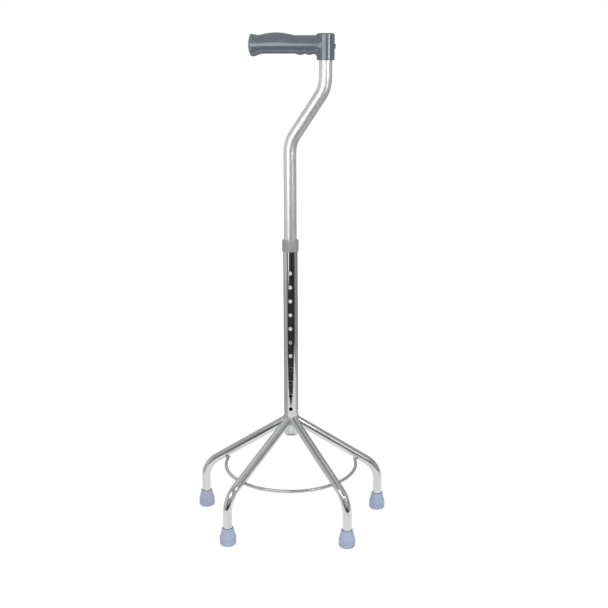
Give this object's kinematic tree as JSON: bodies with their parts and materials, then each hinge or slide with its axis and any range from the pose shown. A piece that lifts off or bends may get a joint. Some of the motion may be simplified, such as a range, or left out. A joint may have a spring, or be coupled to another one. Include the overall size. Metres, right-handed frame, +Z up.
{
  "type": "quad cane",
  "caption": "Height-adjustable walking cane with an offset neck and a moulded grip, on a spread base of bent legs with rubber feet and a bracing hoop.",
  "frame": {"origin": "centre of the footprint's bounding box, on the floor", "axes": "+Z up, +X the way the user walks (the grip points back along -X from its socket), +Y toward the user; the outer pair of legs reaches to -Y"},
  "size_m": [0.351, 0.1756, 0.8596],
  "materials": {
    "chrome_plate": "mirror-bright chrome plate on steel",
    "anodised_aluminium": "bright satin anodised",
    "bright_steel": "bright zinc plate",
    "slate_plastic": "semi-gloss moulded, slate blue-grey",
    "grey_plastic": "matt moulded, mid grey",
    "blue_rubber": "matt rubber, pale steel blue"
  },
  "bodies": {
    "base": {"lower_tube": "chrome_plate", "tube_collar": "grey_plastic", "tube_plug": "grey_plastic", "leg_inner_front": "chrome_plate", "leg_inner_rear": "chrome_plate", "leg_outer_front": "chrome_plate", "leg_outer_rear": "chrome_plate", "brace_hoop": "chrome_plate", "ferrule_inner_front": "blue_rubber", "ferrule_inner_rear": "blue_rubber", "ferrule_outer_front": "blue_rubber", "ferrule_outer_rear": "blue_rubber", "washer_inner_front": "bright_steel", "washer_inner_rear": "bright_steel", "washer_outer_front": "bright_steel", "washer_outer_rear": "bright_steel"},
    "upper_shaft": {"upper_tube": "anodised_aluminium", "handle": "slate_plastic", "handle_screw": "bright_steel", "clip_spring": "bright_steel"},
    "button": {"snap_button": "bright_steel"}
  },
  "joints": [
    {"name": "height_slide", "type": "slide", "parent": "base", "child": "upper_shaft", "axis": [0, 0, 1], "range_m": [-0.127, 0.127], "deforming": ["snap_button"]},
    {"name": "button_press", "type": "slide", "parent": "upper_shaft", "child": "button", "axis": [0, 1, 0], "range_m": [0, 0.0039], "stiffness_N_per_m": 2500, "springref_m": -0.002}
  ]
}
